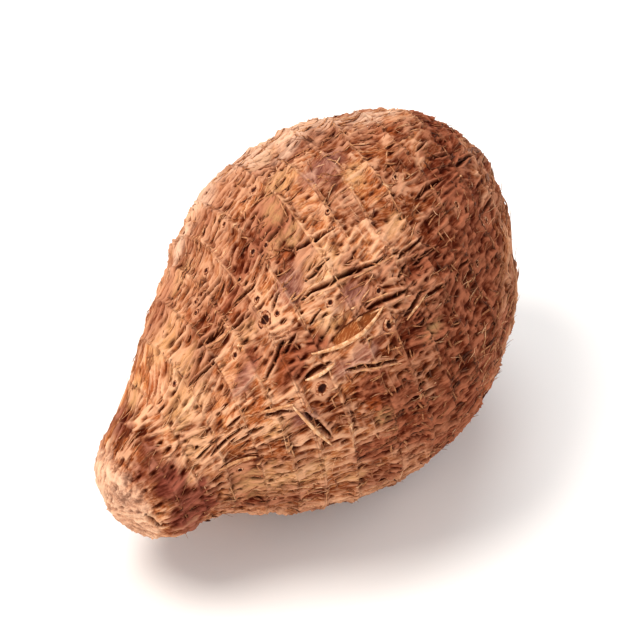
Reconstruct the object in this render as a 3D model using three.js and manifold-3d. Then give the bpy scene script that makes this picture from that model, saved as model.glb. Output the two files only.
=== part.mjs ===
// A taro corm lying on its side: one solid, in millimetres, +Z up, the narrow neck towards -X.
// The skin is a bent, sheared body of revolution with leaf-scar rings and a raised net in relief.
import * as THREE from 'three';
import { mergeVertices } from 'three/addons/utils/BufferGeometryUtils.js';
import Module from 'manifold-3d';

// Body: stations are measured along the corm, from the tip of the neck to the butt end.
const LENGTH = 107;
const BELLY_RADIUS = 35;
const BELLY_STATION = 59;
const TAPER_LENGTH = 59;
const TAPER_POWER = 1.72;
const BUTT_POWER = 1.83;

// Neck: the rounded stub by which the corm hung on its mother.
const NECK_RADIUS = 12.3;
const NECK_STATION = 10.7;
const NECK_BLUNTNESS = 2.4;
const NECK_BLEND = 5;
const NECK_FADE = 0.02;
const NECK_DROP = 1.4;
const NECK_DROP_LENGTH = 26;
const TIP_ROUNDING = 0.6;

// The centre line bends sideways and upwards from the neck to the butt, about BEND_CENTRE.
const BEND_CENTRE = 0.6;
const SIDE_BEND = 18;
const LIFT = 20.7;
const LIFT_BEND = -10;

// Each section leans: forward on the +Y side and back on the +Z side, in mm per mm of radius.
const LEAN_Y = 0.206;
const LEAN_Z = -0.285;

// The leaf-scar rings lean a little more than the sections do.
const RING_LEAN_Y = 0.18;
const RING_LEAN_Z = 0.045;
const RING_LEAN_FADE = 16;

// Leaf-scar rings: close together at both ends, up to 10 mm apart over the belly.
const RING_STATIONS = [3.2, 8.6, 14.4, 20.4, 26.4, 32, 37.6, 44, 53.4, 59.8, 66.4, 74, 82.6, 91.4, 97.8, 102.2];
const RING_HEIGHT = 1.1;
const RING_HEIGHT_AT_NECK = 0.35;
const RING_FULL_RADIUS = 24;
const RING_RISE = 1.4;
const RING_DROP = 0.8;
const RING_RAGGED_MEAN = 0.75;
const RING_RAGGED_SWING = 0.45;
const RING_RAGGED_PACE = 3;

// Mesh rows: the step between rings, and the stations that round off both ends.
const ROW_PITCH = 2.9;
const TIP_ROWS = [0.25, 0.9, 1.9];
const BUTT_ROWS = [1.6, 0.7, 0.2];

// Fibre ribs run from ring to ring, half a cell aside in every other band, and close the net.
const COLUMNS = 88;
const RIB_HEIGHT = 1.25;
const RIB_LOWEST_SHARE = 0.4;
const RIB_END_FADE = 0.12;
const RIB_NONE_RADIUS = 7;
const RIB_FULL_RADIUS = 30;

// Slow lumps in the flesh under the skin.
const LUMP_SIZE = 17;
const LUMP_HEIGHT = 1.5;
const KNOB_SIZE = 6.5;
const KNOB_HEIGHT = 0.7;

// The bud in the middle of the butt end, with a groove round it.
const BUD_RADIUS = 5.5;
const BUD_HEIGHT = 1.3;
const BUD_GROOVE_AT = 1.6;
const BUD_GROOVE_NARROWNESS = 4;
const BUD_GROOVE_SHARE = 0.6;

// The flesh sags a little under the corm's weight, so that the flat spot lies round it.
const SAG_STATION = 38;
const SAG_ANGLE = 281;
const SAG_DEPTH = 1.4;
const SAG_SIZE = 18;

// The flat spot that the corm rests on.
const FOOT_DEPTH = 0.4;
const FOOT_CALM_HEIGHT = 2;

const MERGE_DISTANCE = 1e-4;
const SEED = 11.7;
const SKIN_COLOUR = '#9a6440';

const { abs, cos, exp, floor, max, min, PI, pow, sin, sqrt } = Math;
const { MathUtils } = THREE;

const clamp = (x) => min(1, max(0, x));
const ease = (x) => clamp(x) ** 2 * (3 - 2 * clamp(x));
const mix = (a, b, x) => a + (b - a) * x;

// A fixed number from 0 to 1 for each whole-number cell.
function cellValue(i, j, k) {
  const n = sin(i * 127.1 + j * 311.7 + k * 74.7 + SEED) * 43758.5453;
  return n - floor(n);
}

// Smooth value noise from -1 to 1.
function noise(x, y, z) {
  const [i, j, k] = [floor(x), floor(y), floor(z)];
  const [u, v, w] = [ease(x - i), ease(y - j), ease(z - k)];
  const edge = (b, c) => mix(cellValue(i, j + b, k + c), cellValue(i + 1, j + b, k + c), u);
  const side = (c) => mix(edge(0, c), edge(1, c), v);
  return 2 * mix(side(0), side(1), w) - 1;
}

// The larger of a and b, rounded where they meet.
function smoothMax(a, b, width) {
  const h = max(width - abs(a - b), 0) / width;
  return max(a, b) + h * h * width / 4;
}

// Radius of the section at a station.
function radiusAt(t) {
  const fromBelly = BELLY_STATION - t;
  const taper = BELLY_RADIUS * (1 - pow(abs(fromBelly / TAPER_LENGTH), TAPER_POWER));
  const buttShare = clamp(-fromBelly / (LENGTH - BELLY_STATION));
  const butt = BELLY_RADIUS * sqrt(1 - pow(buttShare, BUTT_POWER));
  const fromNeck = t - NECK_STATION;
  const capShare = pow(abs(fromNeck / NECK_STATION), NECK_BLUNTNESS);
  const cap = NECK_RADIUS * pow(max(0, 1 - capShare), 1 / NECK_BLUNTNESS);
  const neck = fromNeck < 0 ? cap : NECK_RADIUS - NECK_FADE * fromNeck ** 2;
  const body = fromBelly > 0 ? taper : butt;
  return smoothMax(body, neck, NECK_BLEND) * min(1, sqrt(max(t, 0) / TIP_ROUNDING));
}

// How far the skin sags at ring station s and angle a.
function sagAt(s, a) {
  const turn = MathUtils.euclideanModulo(a - MathUtils.degToRad(SAG_ANGLE) + PI, 2 * PI) - PI;
  const away = ((s - SAG_STATION) ** 2 + (BELLY_RADIUS * turn) ** 2) / SAG_SIZE ** 2;
  return SAG_DEPTH * exp(-away);
}

// A point of the smooth skin at ring station s and angle a, from +Y towards +Z.
function skinPoint(s, a) {
  const fade = ease(min(s, LENGTH - s) / RING_LEAN_FADE);
  const lean = RING_LEAN_Y * cos(a) + RING_LEAN_Z * sin(a);
  const t = min(LENGTH, max(0, s + radiusAt(s) * fade * lean));
  const r = radiusAt(t);
  const y = r * cos(a);
  const z = r * sin(a);
  const along = t / LENGTH - BEND_CENTRE;
  const drop = NECK_DROP * ease(1 - t / NECK_DROP_LENGTH) + sagAt(s, a);
  return new THREE.Vector3(
    t + LEAN_Y * y + LEAN_Z * z,
    SIDE_BEND * along ** 2 + y,
    LIFT * along + LIFT_BEND * along ** 2 - drop + z,
  );
}

// Outward direction of the smooth skin.
function skinNormal(s, a) {
  const step = 0.05;
  const alongS = skinPoint(s + step, a).sub(skinPoint(s - step, a));
  const alongA = skinPoint(s, a + step).sub(skinPoint(s, a - step));
  return alongA.cross(alongS).normalize();
}

// Which band between two rings a station lies in, and how far across it, from 0 to 1.
function bandAt(s) {
  const stations = [0, ...RING_STATIONS, LENGTH];
  const band = stations.findLastIndex((station) => station <= s + 1e-6);
  const last = min(band, stations.length - 2);
  return { band: last, across: (s - stations[last]) / (stations[last + 1] - stations[last]) };
}

// A ring climbs slowly, stands highest on its scar and drops off sharply behind it.
function ringRelief(s, a) {
  let height = 0;
  for (const station of RING_STATIONS) {
    const d = s - station;
    const shape = d < 0 ? ease(1 + d / RING_RISE) : ease(1 - d / RING_DROP);
    const wave = noise(station, RING_RAGGED_PACE * cos(a), RING_RAGGED_PACE * sin(a));
    const ragged = RING_RAGGED_MEAN + RING_RAGGED_SWING * wave;
    const grown = ease((radiusAt(station) - NECK_RADIUS) / (RING_FULL_RADIUS - NECK_RADIUS));
    height = max(height, mix(RING_HEIGHT_AT_NECK, RING_HEIGHT, grown) * shape * ragged);
  }
  return height;
}

// Every second column of a band carries a rib of its own height.
function ribRelief(s, column) {
  const { band, across } = bandAt(s);
  const height = RIB_HEIGHT * mix(RIB_LOWEST_SHARE, 1, cellValue(band, column, 5));
  const ends = ease(across / RIB_END_FADE) * ease((1 - across) / RIB_END_FADE);
  const grown = ease((radiusAt(s) - RIB_NONE_RADIUS) / (RIB_FULL_RADIUS - RIB_NONE_RADIUS));
  return (column + band) % 2 === 0 ? height * ends * grown : 0;
}

function lumpRelief(p) {
  const lump = noise(p.x / LUMP_SIZE, p.y / LUMP_SIZE, p.z / LUMP_SIZE);
  const knob = noise(p.x / KNOB_SIZE, p.y / KNOB_SIZE, p.z / KNOB_SIZE);
  return LUMP_HEIGHT * lump + KNOB_HEIGHT * knob;
}

// The bud swells in the middle of the butt end and has a groove round it.
function budRelief(s) {
  if (s < BELLY_STATION) return 0;
  const fromAxis = radiusAt(s) / BUD_RADIUS;
  const swell = exp(-(fromAxis ** 2));
  const groove = exp(-BUD_GROOVE_NARROWNESS * (fromAxis - BUD_GROOVE_AT) ** 2);
  return BUD_HEIGHT * (swell - BUD_GROOVE_SHARE * groove);
}

// Stations of the mesh rows: each ring's rise, crest and drop, and even steps between rings.
function rowStations() {
  const rows = [];
  const stops = [0, ...RING_STATIONS, LENGTH];
  for (let i = 0; i + 1 < stops.length; i += 1) {
    const start = i === 0 ? TIP_ROWS.at(-1) : stops[i] + RING_DROP;
    const end = i + 2 === stops.length ? LENGTH - BUTT_ROWS[0] : stops[i + 1] - RING_RISE;
    const steps = max(1, Math.round((end - start) / ROW_PITCH));
    if (i > 0) rows.push(stops[i]);
    for (let k = 0; k <= steps; k += 1) {
      if (end > start || k === 0) rows.push(mix(start, end, k / steps));
    }
  }
  const buttRows = BUTT_ROWS.slice(1).map((fromEnd) => LENGTH - fromEnd);
  return [...TIP_ROWS.slice(0, -1), ...rows, ...buttRows];
}

// The closed skin: a point at the tip, rows of COLUMNS points, and a point at the butt.
function skinGeometry() {
  const smoothLow = lowestOfSmoothSkin();
  const raised = (s, column) => {
    const a = (2 * PI * column) / COLUMNS;
    const p = skinPoint(s, a);
    const calm = ease((p.z - smoothLow) / FOOT_CALM_HEIGHT);
    const relief = ringRelief(s, a) + ribRelief(s, column) + lumpRelief(p);
    return p.addScaledVector(skinNormal(s, a), calm * relief + budRelief(s));
  };
  const rows = rowStations();
  const points = rows.map((s) => Array.from({ length: COLUMNS }, (_, column) => raised(s, column)));
  const tip = skinPoint(0, 0);
  const butt = skinPoint(LENGTH, 0).addScaledVector(new THREE.Vector3(1, 0, 0), BUD_HEIGHT);
  const flat = [];
  const triangle = (a, b, c) => flat.push(...a.toArray(), ...b.toArray(), ...c.toArray());
  for (let j = 0; j < COLUMNS; j += 1) {
    const next = (j + 1) % COLUMNS;
    triangle(tip, points[0][next], points[0][j]);
    triangle(butt, points.at(-1)[j], points.at(-1)[next]);
    for (let i = 0; i + 1 < rows.length; i += 1) {
      const [a, b] = [points[i][j], points[i][next]];
      const [c, d] = [points[i + 1][next], points[i + 1][j]];
      if ((i + j) % 2 === 0) {
        triangle(a, b, c);
        triangle(a, c, d);
      } else {
        triangle(a, b, d);
        triangle(b, c, d);
      }
    }
  }
  const geometry = new THREE.BufferGeometry();
  geometry.setAttribute('position', new THREE.Float32BufferAttribute(flat, 3));
  return mergeVertices(geometry, MERGE_DISTANCE);
}

function lowestOfSmoothSkin() {
  let low = Infinity;
  for (let s = 0; s <= LENGTH; s += 1) {
    for (let a = 0; a < 2 * PI; a += PI / COLUMNS) low = min(low, skinPoint(s, a).z);
  }
  return low;
}

const wasm = await Module();
wasm.setup();

function toSolid(geometry) {
  return new wasm.Manifold(new wasm.Mesh({
    numProp: 3,
    vertProperties: new Float32Array(geometry.attributes.position.array),
    triVerts: new Uint32Array(geometry.index.array),
  }));
}

function toGeometry(solid) {
  const mesh = solid.getMesh();
  const geometry = new THREE.BufferGeometry();
  geometry.setAttribute('position', new THREE.BufferAttribute(mesh.vertProperties, 3));
  geometry.setIndex(new THREE.BufferAttribute(mesh.triVerts, 1));
  return geometry;
}

// Cuts the flat foot, then puts the origin under the middle of the box, on the foot.
function standOnFoot(skin) {
  const footZ = lowestOfSmoothSkin() + FOOT_DEPTH;
  const slab = new THREE.BoxGeometry(2 * LENGTH, 2 * LENGTH, LENGTH);
  slab.translate(LENGTH / 2, 0, footZ - LENGTH / 2);
  slab.deleteAttribute('normal');
  slab.deleteAttribute('uv');
  const corm = toGeometry(toSolid(skin).subtract(toSolid(mergeVertices(slab))));
  corm.computeBoundingBox();
  const centre = corm.boundingBox.getCenter(new THREE.Vector3());
  corm.translate(-centre.x, -centre.y, -footZ);
  corm.computeVertexNormals();
  return corm;
}

const skinMaterial = new THREE.MeshStandardMaterial({ color: SKIN_COLOUR, roughness: 0.85, metalness: 0 });
const corm = new THREE.Mesh(standOnFoot(skinGeometry()), skinMaterial);
corm.name = 'corm';

const taroRoot = new THREE.Group();
taroRoot.add(corm);

export default taroRoot;
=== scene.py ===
"""A taro corm lying on its side: its fibrous skin, leaf-scar fringes, root scars and loose hairs."""

import math

import bmesh
import bpy
import numpy as np
from mathutils import Matrix, Vector


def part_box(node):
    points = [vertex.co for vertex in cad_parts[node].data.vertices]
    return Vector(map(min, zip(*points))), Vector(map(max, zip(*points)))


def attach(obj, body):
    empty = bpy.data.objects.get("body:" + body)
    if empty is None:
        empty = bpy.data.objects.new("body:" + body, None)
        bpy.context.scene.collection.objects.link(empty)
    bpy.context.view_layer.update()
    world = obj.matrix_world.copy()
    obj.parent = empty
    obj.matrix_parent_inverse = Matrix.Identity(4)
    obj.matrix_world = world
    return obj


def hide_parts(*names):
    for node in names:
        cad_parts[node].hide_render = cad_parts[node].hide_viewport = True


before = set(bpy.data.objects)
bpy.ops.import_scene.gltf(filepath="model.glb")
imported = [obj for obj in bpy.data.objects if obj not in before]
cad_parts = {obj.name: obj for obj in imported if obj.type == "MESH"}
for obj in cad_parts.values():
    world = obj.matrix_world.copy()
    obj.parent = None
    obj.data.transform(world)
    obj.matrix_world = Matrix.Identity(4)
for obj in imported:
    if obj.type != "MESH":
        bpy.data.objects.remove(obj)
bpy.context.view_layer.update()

# The form in millimetres, as the solid has it: stations run from the neck's tip to the butt end.
MM = 0.001
LENGTH = 107
BELLY_RADIUS = 35
BELLY_STATION = 59
TAPER_LENGTH = 59
TAPER_POWER = 1.72
BUTT_POWER = 1.83
NECK_RADIUS = 12.3
NECK_STATION = 10.7
NECK_BLUNTNESS = 2.4
NECK_BLEND = 5
NECK_FADE = 0.02
NECK_DROP = 1.4
NECK_DROP_LENGTH = 26
TIP_ROUNDING = 0.6
BEND_CENTRE = 0.6
SIDE_BEND = 18
LIFT = 20.7
LIFT_BEND = -10
LEAN_Y = 0.206
LEAN_Z = -0.285
RING_LEAN_Y = 0.18
RING_LEAN_Z = 0.045
RING_LEAN_FADE = 16
RING_STATIONS = [3.2, 8.6, 14.4, 20.4, 26.4, 32, 37.6, 44, 53.4, 59.8, 66.4, 74, 82.6, 91.4, 97.8, 102.2]
RING_FULL_RADIUS = 24
LUMP_SIZE = 17
LUMP_HEIGHT = 1.5
KNOB_SIZE = 6.5
KNOB_HEIGHT = 0.7
BUD_RADIUS = 5.5
BUD_HEIGHT = 1.3
SAG_STATION = 38
SAG_ANGLE = 281
SAG_DEPTH = 1.4
SAG_SIZE = 18
FOOT_DEPTH = 0.4
FOOT_CALM_HEIGHT = 2
SEED = 11.7

# The skin is made in three bands that meet near rings, each divided round the corm and along it.
SKIN_COLUMNS = 900
BAND_ROWS = 109
BAND_MEETINGS = [0, 37.2, 68.0, 107]

# The net in the skin, in mm: plates between rings, threads, strands, strokes, grains and pits.
PLATE_WIDTH = 5.6
PLATE_SLOPE = 0.5
THREAD_PITCH = 1.9
LONG_STRAND = (6.0, 1.35)
CROSS_LINE = (1.5, 4.0)
STROKE = (2.6, 0.76)
FINE_STROKE = (1.5, 0.5)
GRAIN = (1.15, 0.95)
PIT_SPACING = 2.6

# Root scars as (station mm, angle in degrees from +Y towards +Z, hole radius mm).
SCARS = [
    (51.3, 70, 0.75), (37.9, 110, 0.92), (41.8, 145, 0.95), (58.8, 141, 0.8), (38.7, 102, 0.5),
    (40.5, 112, 0.45), (34.5, 71, 0.55), (43.1, 89, 0.55), (37.9, 90, 0.45), (45.8, 92, 0.42),
    (42.7, 69, 0.45), (60.2, 131, 0.5), (59.8, 101, 0.42), (77.4, 107, 0.5), (50.4, 123, 0.5),
    (28.3, 78, 0.42), (29.5, 74, 0.42), (86.6, 130, 0.6), (29.9, 110, 0.45), (55.5, 72, 0.42),
    (18.6, 89, 0.4), (85.9, 153, 0.55), (22.4, 166, 0.45), (88, 90, 0.45),
]
LOOSE_SCARS = 46
SCAR_CLEARANCE = 5.5
LEAST_PLACE_RADIUS = 4

# Cracks as (station, angle) of both ends, half width and depth in mm.
CRACKS = [
    ((45.6, 115), (66, 125), 0.42, 1.2),
    ((49.4, 101), (59.2, 106.5), 0.4, 1),
    ((24.6, 90), (31.2, 98.5), 0.5, 1.4),
    ((29.7, 96), (32.4, 96), 0.45, 1),
    ((31, 101), (36.4, 103), 0.3, 0.9),
    ((43.6, 92), (50, 91.5), 0.4, 1),
    ((39.6, 137.5), (45.4, 138.6), 0.5, 1.2),
    ((56, 132.6), (66.4, 137.4), 0.42, 1.1),
    ((62.4, 142.4), (69.2, 141), 0.38, 1),
    ((47.4, 144), (57.6, 152.6), 0.4, 1),
    ((55.6, 168.4), (64, 170.4), 0.42, 1),
    ((70.4, 133), (77.6, 135), 0.35, 0.9),
    ((68, 143), (75.6, 146), 0.36, 0.9),
    ((20.4, 100), (27, 104), 0.3, 0.8),
    ((2.4, 158), (3.6, 182), 0.4, 0.8),
    ((30, 141.4), (35.4, 146.6), 0.35, 0.9),
]
LOOSE_CRACKS = 120
# A painted shadow of the stick: a dark crack cut alongside it, as its ends, half width and depth.
STICK_SHADOW_GAP = ((37.2, 149), (40.2, 167), 0.42, 1.2)
STRANDS_KEEP_OFF = 2.6

# How many strands of each kind are laid, and how far apart along a ring, in mm.
NET_STRANDS = 2600
CROSS_STRANDS = 900
CROSSED_STRANDS = 60
LOOSE_HAIRS = 900
LOOSE_STUBS = 46
FRINGE_SPACING = 2
RING_LINE_SPACING = 4.5
RING_LINE_LENGTH = 6

# Broken rootlets seen along the lower outline, as (station, angle).
STUB_SPOTS = [
    (13.6, 214), (15.4, 219), (37.6, 216), (38.4, 219), (30.9, 216), (46, 213), (51, 210), (55, 206),
]

# The lens-shaped torn place with bare orange skin inside: ends, half width and depth.
TORN_PLACE = ((47.4, 134.2), (59, 136.2), 1.35, 0.6)

TURN = 2 * math.pi
rng = np.random.default_rng(7690)


def ease(x):
    x = np.clip(x, 0, 1)
    return x * x * (3 - 2 * x)


def mix(a, b, x):
    return a + (b - a) * x


def cell_value(i, j, k):
    n = np.sin(i * 127.1 + j * 311.7 + k * 74.7 + SEED) * 43758.5453
    return n - np.floor(n)


def noise(x, y, z):
    """Smooth value noise from -1 to 1, the same as the solid's."""
    i, j, k = np.floor(x), np.floor(y), np.floor(z)
    u, v, w = ease(x - i), ease(y - j), ease(z - k)

    def edge(b, c):
        return mix(cell_value(i, j + b, k + c), cell_value(i + 1, j + b, k + c), u)

    def side(c):
        return mix(edge(0, c), edge(1, c), v)

    return 2 * mix(side(0), side(1), w) - 1


def smooth_max(a, b, width):
    h = np.maximum(width - np.abs(a - b), 0) / width
    return np.maximum(a, b) + h * h * width / 4


def turn_from(a, start):
    """Angles counted from a start, from half a turn back to half a turn on."""
    return (a - start + math.pi) % TURN - math.pi


def radius_at(t):
    """Radius of the section at a station."""
    from_belly = BELLY_STATION - t
    taper = BELLY_RADIUS * (1 - np.abs(from_belly / TAPER_LENGTH) ** TAPER_POWER)
    butt_share = np.clip(-from_belly / (LENGTH - BELLY_STATION), 0, 1)
    butt = BELLY_RADIUS * np.sqrt(1 - butt_share**BUTT_POWER)
    from_neck = t - NECK_STATION
    cap_share = np.abs(from_neck / NECK_STATION) ** NECK_BLUNTNESS
    cap = NECK_RADIUS * np.maximum(0, 1 - cap_share) ** (1 / NECK_BLUNTNESS)
    neck = np.where(from_neck < 0, cap, NECK_RADIUS - NECK_FADE * from_neck**2)
    body = np.where(from_belly > 0, taper, butt)
    tip = np.minimum(1, np.sqrt(np.maximum(t, 0) / TIP_ROUNDING))
    return smooth_max(body, neck, NECK_BLEND) * tip


def place_radius(station):
    """Radius at one station, held up at both ends so that a place there keeps its size."""
    return max(LEAST_PLACE_RADIUS, float(radius_at(station)))


def skin_point(s, a):
    """Point of the smooth skin at ring station s and angle a."""
    fade = ease(np.minimum(s, LENGTH - s) / RING_LEAN_FADE)
    lean = RING_LEAN_Y * np.cos(a) + RING_LEAN_Z * np.sin(a)
    t = np.clip(s + radius_at(s) * fade * lean, 0, LENGTH)
    r = radius_at(t)
    y, z = r * np.cos(a), r * np.sin(a)
    along = t / LENGTH - BEND_CENTRE
    turn = turn_from(a, math.radians(SAG_ANGLE))
    sag = SAG_DEPTH * np.exp(-((s - SAG_STATION) ** 2 + (BELLY_RADIUS * turn) ** 2) / SAG_SIZE**2)
    drop = NECK_DROP * ease(1 - t / NECK_DROP_LENGTH) + sag
    x = t + LEAN_Y * y + LEAN_Z * z
    return np.stack([x, SIDE_BEND * along**2 + y, LIFT * along + LIFT_BEND * along**2 - drop + z], -1)


def unit(v):
    return v / np.maximum(np.linalg.norm(v, axis=-1, keepdims=True), 1e-9)


def skin_frame(s, a):
    """Point, outward direction, direction along the corm and direction round it."""
    step = 0.05
    inner = np.clip(s, 2 * step, LENGTH - 2 * step)
    along = unit(skin_point(inner + step, a) - skin_point(inner - step, a))
    around = unit(skin_point(inner, a + step) - skin_point(inner, a - step))
    return skin_point(s, a), unit(np.cross(around, along)), along, around


def band_of(s):
    """How many rings lie before a station."""
    return np.searchsorted(np.array(RING_STATIONS), s).astype(float)


def round_coordinates(a):
    """A circle of the belly's size, so that a pattern closes and draws together at the neck."""
    return BELLY_RADIUS * np.cos(a), BELLY_RADIUS * np.sin(a)


# The profile's run in mm, from the tip of the neck to the butt, against the station.
PROFILE_STATIONS = np.linspace(0, LENGTH, 6001)
PROFILE_RUN = np.concatenate(
    [[0], np.cumsum(np.hypot(np.diff(PROFILE_STATIONS), np.diff(radius_at(PROFILE_STATIONS))))]
)
BAND_EDGES = np.array([0, *RING_STATIONS, LENGTH])
BAND_RADII = radius_at((BAND_EDGES[1:] + BAND_EDGES[:-1]) / 2)


def run_of(s):
    """How far a station lies from the tip, along the skin."""
    return np.interp(s, PROFILE_STATIONS, PROFILE_RUN)


BAND_RUNS = run_of(BAND_EDGES)


def net_place(s, a):
    """Coordinates in mm for the net: along the skin, and round it in a circle of each band's size."""
    band_radius = BAND_RADII[band_of(s).astype(int)]
    middle = ease((s - 4) / 5) * ease((LENGTH - 5 - s) / 5)
    r = mix(radius_at(s), band_radius, middle)
    return run_of(s), r * np.cos(a), r * np.sin(a)


def aslant(s, a, slope):
    """Angles turned along each plate by its own slope."""
    from_ring = run_of(s) - BAND_RUNS[band_of(s).astype(int)]
    return a + slope * from_ring / np.maximum(radius_at(s), 8)


low_s, low_a = np.meshgrid(np.arange(0, LENGTH + 1), np.arange(0, TURN, math.pi / 72))
SMOOTH_LOW = skin_point(low_s, low_a)[..., 2].min()
FOOT_Z = SMOOTH_LOW + FOOT_DEPTH


def ring_noise(level, size, a):
    """Noise along a circle of a size, which closes round the corm."""
    return noise(level, size * np.cos(a), size * np.sin(a))


def ring_offset(s, a, station):
    """Distance behind a ring's crest, which wanders a little round the corm."""
    return s - station - 0.75 * ring_noise(station, 2.3, a) - 0.3 * ring_noise(station, 10, a)


def ring_relief(s, a):
    """Height of the leaf-scar rings, and masks of their pale crests and of the painted shadow along the
    shallow groove behind each.
    """
    height = np.zeros_like(s)
    mask = np.zeros_like(s)
    gap_and_shade = np.zeros_like(s)
    for station in RING_STATIONS:
        near = np.abs(s - station) < 3.2
        angle = a[near]
        d = ring_offset(s[near], angle, station)
        crest = np.where(d < 0, ease(1 + d / 1.7), ease(1 - d / 0.7))
        ragged = 0.75 + 0.45 * ring_noise(station, 3, angle)
        broken = ease(0.8 + 1.3 * ring_noise(station * 3.3, 8, angle))
        grown = ease((radius_at(station) - NECK_RADIUS) / (RING_FULL_RADIUS - NECK_RADIUS))
        raised = mix(0.2, 0.68, grown) * crest * ragged * mix(0.3, 1, broken)
        height[near] = np.maximum(height[near], raised)
        line = np.clip(1 - np.abs(d + 0.1) / 0.42, 0, 1)
        mask[near] = np.maximum(mask[near], line * 0.75 * broken * mix(0.4, 1, grown))
        # Behind each crest: a line of painted shadow, where the skin is also sunk a little.
        behind = np.clip(1 - np.abs(d - 0.75) / 0.45, 0, 1)
        torn = ease(0.1 + 1.6 * ring_noise(station * 1.7, 11, angle))
        gap_and_shade[near] = np.maximum(gap_and_shade[near], behind * torn * mix(0.3, 1, grown))
    return height, mask, gap_and_shade


def form_relief(s, a):
    """The slow relief that the solid has too: lumps, rings and the bud."""
    p = skin_point(s, a)
    lump = LUMP_HEIGHT * noise(*(p[..., k] / LUMP_SIZE for k in range(3)))
    knob = KNOB_HEIGHT * noise(*(p[..., k] / KNOB_SIZE for k in range(3)))
    ring, crest_mask, ring_groove_and_shadow = ring_relief(s, a)
    from_axis = np.where(s > BELLY_STATION, radius_at(s) / BUD_RADIUS, 9)
    bud = BUD_HEIGHT * (np.exp(-(from_axis**2)) - 0.6 * np.exp(-((from_axis - 1.6) ** 2) * 4))
    calm = ease((p[..., 2] - SMOOTH_LOW) / FOOT_CALM_HEIGHT)
    return calm * (lump + knob + ring) + bud, crest_mask, ring_groove_and_shadow, calm


def ridge(n, half_width):
    """A crest along the line where the noise n crosses zero."""
    return np.clip(1 - np.abs(n) / half_width, 0, 1)


def place_of(s, a, start, end):
    """Share along a line between two (station, degrees) ends, and distance from it in mm."""
    local = place_radius((start[0] + end[0]) / 2)
    line = np.array([end[0] - start[0], math.radians(end[1] - start[1]) * local])
    x, y = s - start[0], turn_from(a, math.radians(start[1])) * local
    long = float(line @ line)
    share = (x * line[0] + y * line[1]) / long
    away = (x * line[1] - y * line[0]) / math.sqrt(long)
    return share, away


def from_place(s, a, station, angle):
    """Distances in mm along and round the corm from a place at (station, degrees)."""
    return s - station, turn_from(a, math.radians(angle)) * place_radius(station)


def lens(s, a, start, end, half_width, waver=0.0):
    """Signed distance across a lens-shaped place over its half width; 9 outside its ends."""
    share, away = place_of(s, a, start, end)
    inside = (share > 0) & (share < 1)
    skewed = np.clip(share, 0, 1) ** 0.8
    wide = half_width * np.sqrt(np.clip(4 * skewed * (1 - skewed), 1e-4, 1))
    away = away + waver * noise(s / 2.1, 5.0 * np.ones_like(s), start[1] * np.ones_like(s))
    return np.where(inside, away / wide, 9.0)


def random_cracks():
    """Short cracks along the corm, anywhere on the skin."""
    cracks = []
    for _ in range(LOOSE_CRACKS):
        s = rng.uniform(16, 96)
        a = rng.uniform(0, 360)
        long = rng.uniform(2.6, 8.5)
        turn = long * rng.normal(0.1, 0.5)
        cracks.append(((s, a), (s + long, a + turn), rng.uniform(0.22, 0.4), rng.uniform(0.6, 1.0)))
    return cracks


def random_scars():
    """Root scars anywhere but on the side where the listed ones lie."""
    scars = []
    while len(scars) < LOOSE_SCARS:
        s = rng.uniform(18, 100)
        a = rng.uniform(0, 360)
        set_by_hand = 50 < a < 195 and s < 92
        if not set_by_hand and rng.uniform(0, 1) < radius_at(s) / BELLY_RADIUS:
            scars.append((s, a, rng.uniform(0.35, 0.7)))
    return scars


ALL_CRACKS = CRACKS + [STICK_SHADOW_GAP] + random_cracks()
ALL_SCARS = SCARS + random_scars()


def crest(distance, half_width):
    return ease(1 - np.abs(distance) / half_width)


def plates(s, a):
    """The net's plates between rings: ribs at their borders, and each plate's own value and slope."""
    band = band_of(s)
    count = np.maximum(5, np.round(TURN * BAND_RADII / PLATE_WIDTH))[band.astype(int)]
    pitch = TURN * radius_at(s) / count
    waver = 0.1 * noise(run_of(s) / 2.3, 3.1 * band, 14 * np.cos(a))
    waver += 0.05 * noise(s, 5 * band, 40 * np.sin(a))
    place = (a / TURN) % 1 * count + 0.5 * (band % 2) + waver
    first = np.floor(place)
    rib = np.zeros_like(s)
    own = np.zeros_like(s)
    tilt = np.zeros_like(s)
    for step in (-1, 0, 1, 2):
        border = (first + step) % count
        spot = first + step + 0.7 * (cell_value(band, border, 7) - 0.5)
        strength = ease(1.5 * cell_value(band, border, 8) - 0.3)
        rib = np.maximum(rib, strength * crest((place - spot) * pitch, 0.5))
        own = np.where(place > spot, cell_value(band, border, 9), own)
        tilt = np.where(place > spot, 2 * cell_value(band, border, 12) - 1, tilt)
    return rib, own, PLATE_SLOPE * tilt * np.abs(tilt)


def threads(s, turned):
    """Even threads along the corm, broken here and there, and a mask of the gaps between them."""
    run = run_of(s)
    band = band_of(s)
    count = np.maximum(8, np.round(TURN * BAND_RADII / THREAD_PITCH))[band.astype(int)]
    waver = 0.35 * noise(run / 2.6, 3.1 * band + 40, 15 * np.cos(turned))
    waver += 0.2 * noise(run / 1.2, 5 * band, 40 * np.sin(turned))
    place = (turned / TURN) % 1 * count + waver
    nearest = np.round(place)
    away = np.abs(place - nearest)
    whole = ease(0.6 + noise(run / 2.2, nearest % count, 7 * band))
    return crest(away, 0.36) * whole, ease((away - 0.28) / 0.16)


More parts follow.
